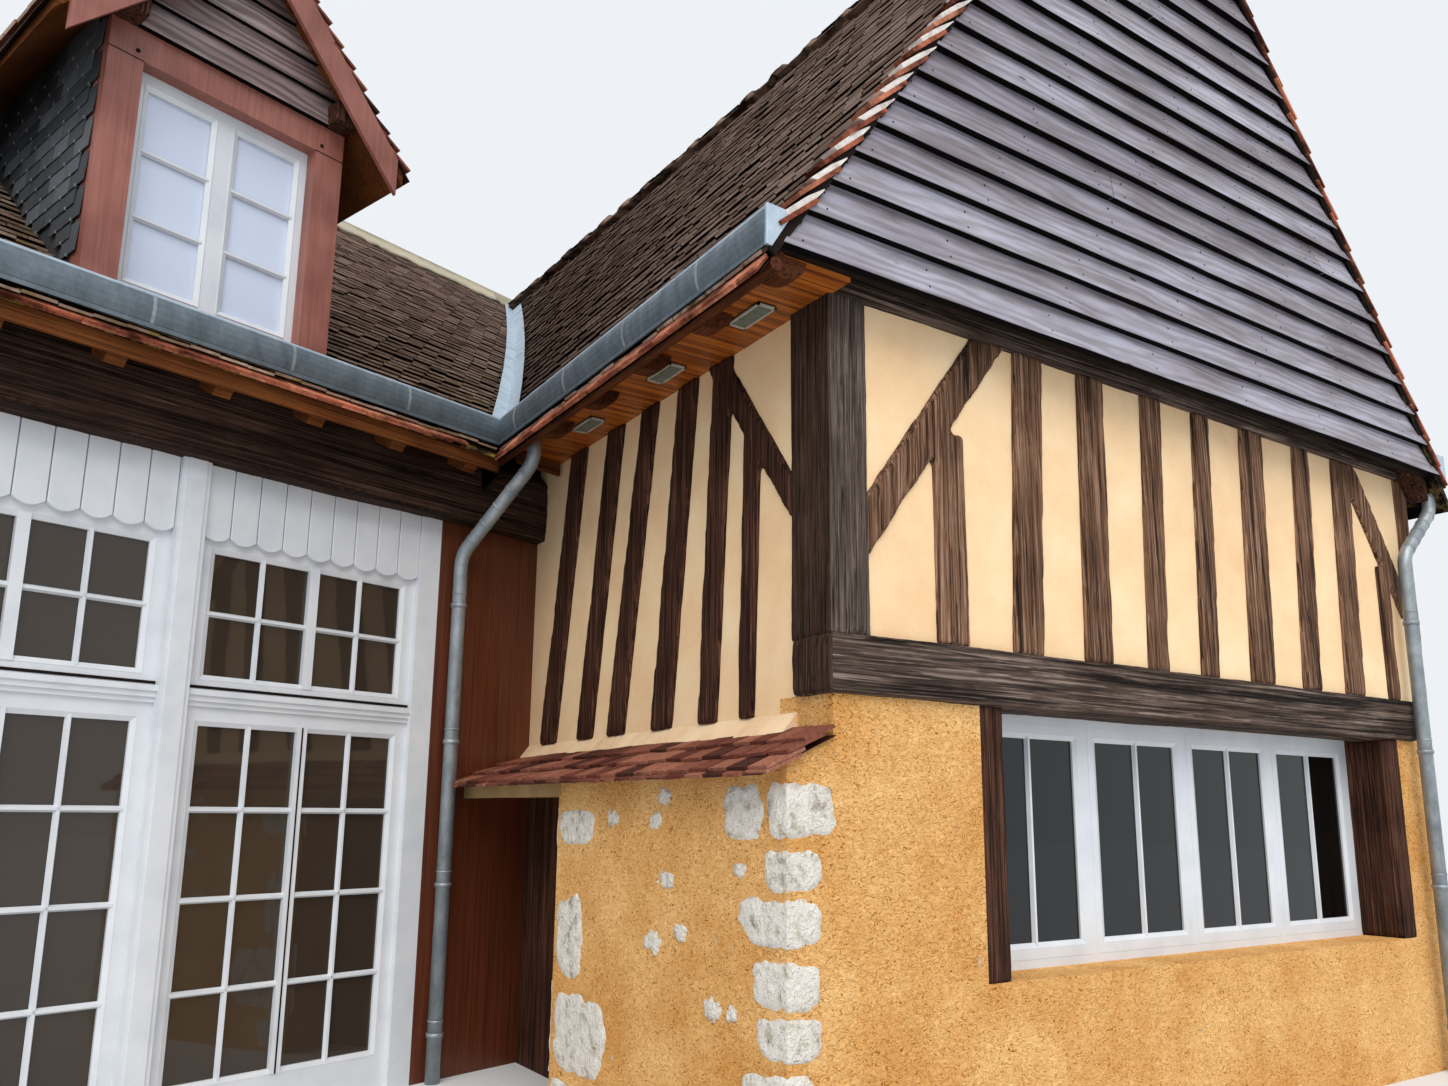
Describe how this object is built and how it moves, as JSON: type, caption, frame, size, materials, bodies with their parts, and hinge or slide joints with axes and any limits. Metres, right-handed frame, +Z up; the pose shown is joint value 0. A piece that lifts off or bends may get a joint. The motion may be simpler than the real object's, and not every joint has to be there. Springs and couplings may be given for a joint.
{
  "type": "half-timbered house",
  "caption": "Corner half-timbered house in two wings with a weatherboarded gable, tall glazed shop front, dormer and plain tiled roofs.",
  "frame": {"origin": "on the ground, in the middle of the foot of the gable front wall's thickness", "axes": "+Z up, -Y out of the gable front, +X to the right along the gable front"},
  "size_m": [12.6378, 12.4564, 9.4996],
  "materials": {
    "ochre_render": "rough lime render, ochre, with bare stone patches",
    "cream_plaster": "smooth lime plaster, cream",
    "dark_oak": "weathered, stained dark",
    "brown_oak": "stained brown",
    "weatherboard": "grey-brown stain, weathered",
    "pine_boards": "clear stain",
    "redbrown_paint": "painted, satin",
    "white_paint": "painted white, satin",
    "clay_tile": "flat plain tiles, weathered brown",
    "slate": "riven slate",
    "zinc": "weathered zinc",
    "clear_glass": "clear",
    "grey_vent": "matt",
    "party_render": "plain render",
    "floor_boards": "plain",
    "floor_stone": "plain slab"
  },
  "bodies": {
    "root": {"bay_glass": "clear_glass", "bay_joinery": "white_paint", "corner_panel": "redbrown_paint", "corner_post": "dark_oak", "dormer_barges": "redbrown_paint", "dormer_cheeks": "slate", "dormer_deck": "brown_oak", "dormer_frame": "redbrown_paint", "dormer_gable": "weatherboard", "dormer_glass": "clear_glass", "dormer_purlins": "brown_oak", "dormer_tiles": "clay_tile", "dormer_window": "white_paint", "downpipes": "zinc", "eaves_soffit": "pine_boards", "eaves_timbers": "brown_oak", "front_beam": "dark_oak", "front_masonry": "ochre_render", "front_plaster": "cream_plaster", "front_plate": "dark_oak", "front_studs": "dark_oak", "gable_boards": "weatherboard", "gable_deck_left": "pine_boards", "gable_deck_right": "pine_boards", "gable_tiles_left": "clay_tile", "gable_tiles_right": "clay_tile", "gable_wall": "brown_oak", "ground_floor": "floor_stone", "gutters": "zinc", "left_beam": "brown_oak", "left_deck": "pine_boards", "left_eaves": "pine_boards", "left_tiles": "clay_tile", "party_wall_back": "party_render", "party_wall_left": "party_render", "pentice": "clay_tile", "plaster_flare": "cream_plaster", "recess_boarding": "brown_oak", "ridge_cap": "clay_tile", "right_masonry": "ochre_render", "side_masonry": "ochre_render", "side_plaster": "cream_plaster", "side_studs": "dark_oak", "soffit_vents": "grey_vent", "upper_floors": "floor_boards", "valance": "white_paint", "valley_zinc": "zinc", "window_frame": "white_paint", "window_glass": "clear_glass", "window_posts": "brown_oak"}
  },
  "joints": []
}
